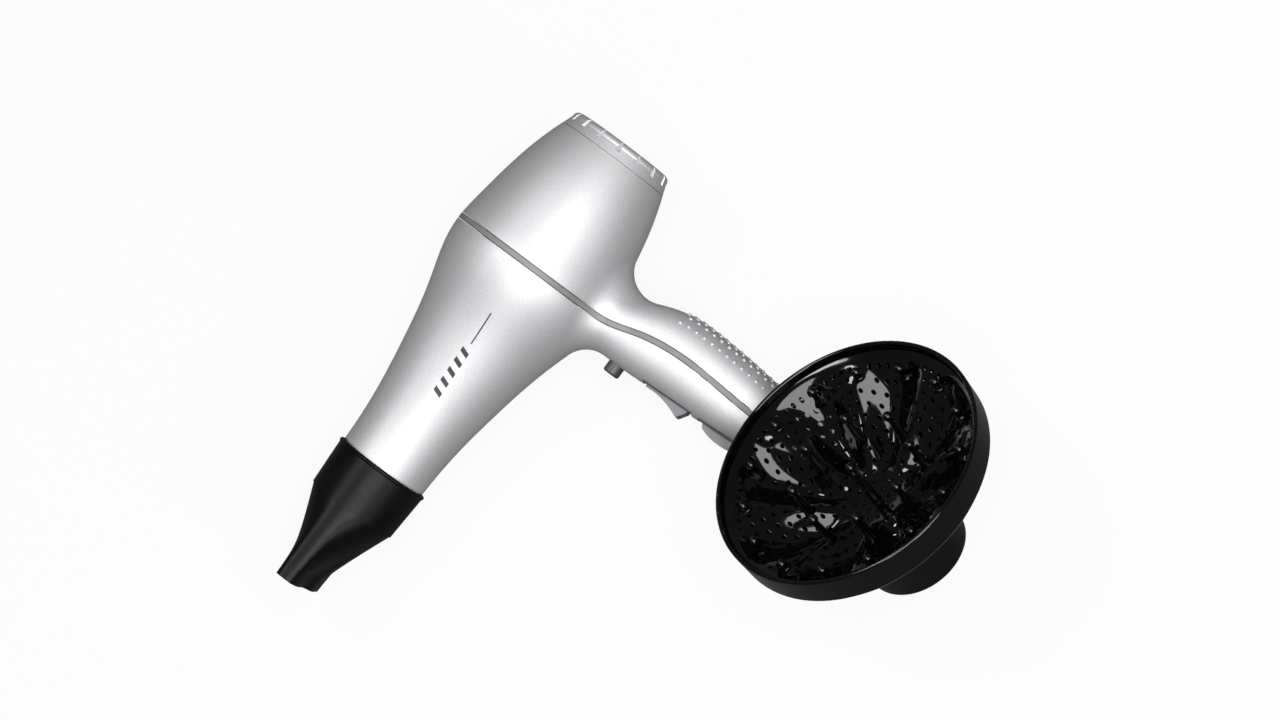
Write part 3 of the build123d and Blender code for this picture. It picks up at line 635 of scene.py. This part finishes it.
def makeCamera():
    side, turn = radians(view["sideTurn"]), radians(view["barrelTurn"])
    out = sideAxis * cos(side) + handleAxis * sin(side)
    across = out.cross(barrelAxis)
    right = barrelAxis * -cos(turn) + across * sin(turn)
    up = barrelAxis * -sin(turn) - across * cos(turn)
    data = bpy.data.cameras.new("camera")
    data.sensor_width = view["sensorMm"]
    data.lens = data.sensor_width * view["distance"] / view["width"]
    data.clip_start, data.clip_end = view["clip"]
    camera = bpy.data.objects.new("camera", data)
    bpy.context.scene.collection.objects.link(camera)
    centre = dryerFrame @ Vector(view["centre"])
    rotation = Matrix((right, up, out)).transposed().to_4x4()
    camera.matrix_world = Matrix.Translation(centre + out * view["distance"]) @ rotation
    bpy.context.scene.camera = camera
    return right, up, out


viewRight, viewUp, viewOut = makeCamera()
print("camera set")

# Soft boxes: metres right, up and out from what the camera looks at, their sides in metres, and watts
softBoxes = {
    "overheadSail": {"place": (0.15, -0.1, 2.6), "side": 1.9, "power": 66},
    "boxUpperLeft": {"place": (-1.4, 0.95, 1.7), "side": 0.6, "power": 15},
    "boxLowerRight": {"place": (1.2, -0.9, 1.7), "side": 0.5, "power": 8},
}
for name, box in softBoxes.items():
    right, up, out = box["place"]
    lamp = bpy.data.lights.new(name, "AREA")
    lamp.size = box["side"]
    lamp.energy = box["power"]
    light = bpy.data.objects.new(name, lamp)
    bpy.context.scene.collection.objects.link(light)
    offset = viewRight * right + viewUp * up + viewOut * out
    light.location = dryerFrame @ Vector(view["centre"]) + offset
    light.rotation_mode = "QUATERNION"
    light.rotation_quaternion = offset.to_track_quat("Z", "Y")
print("soft boxes placed:", len(softBoxes))

# Floor: white paper lit to the top of the scale, which throws less light back than it shows
stage = {
    "floorSeen": "#FCFCFC", "floorLit": "#606060", "shadow": 0.06, "roomLight": 0.11,
    "floorHalf": 6.0, "floorDropMm": 0.5,
}


def overexposedPaper():
    material, tree = newMaterial("overexposedWhitePaper")
    glow = addNode(tree, "ShaderNodeEmission", {"Color": srgb(stage["floorSeen"])})
    matt = addNode(tree, "ShaderNodeBsdfDiffuse", {"Color": srgb(stage["floorSeen"])})
    dim = addNode(tree, "ShaderNodeBsdfDiffuse", {"Color": srgb(stage["floorLit"])})
    seen = addNode(tree, "ShaderNodeMixShader", {"Fac": stage["shadow"]},
                   {1: glow.outputs["Emission"], 2: matt.outputs["BSDF"]})
    ray = addNode(tree, "ShaderNodeLightPath")
    chosen = addNode(tree, "ShaderNodeMixShader", links={
        "Fac": ray.outputs["Is Camera Ray"], 1: dim.outputs["BSDF"], 2: seen.outputs["Shader"]})
    addNode(tree, "ShaderNodeOutputMaterial", links={"Surface": chosen.outputs["Shader"]})
    return material


half = stage["floorHalf"]
corners = [(-half, -half, 0), (half, -half, 0), (half, half, 0), (-half, half, 0)]
floorMesh = bpy.data.meshes.new("floor")
floorMesh.from_pydata(corners, [], [(0, 1, 2, 3)])
floorMesh.materials.append(overexposedPaper())
floor = bpy.data.objects.new("floor", floorMesh)
floor.location.z = -stage["floorDropMm"] * mm
bpy.context.scene.collection.objects.link(floor)

world = bpy.data.worlds.new("studio")
bpy.context.scene.world = world
world.use_nodes = True
background = world.node_tree.nodes["Background"]
background.inputs["Color"].default_value = srgb("#FFFFFF")
background.inputs["Strength"].default_value = stage["roomLight"]
bpy.context.scene.view_settings.view_transform = "Standard"
print("floor and room light set")
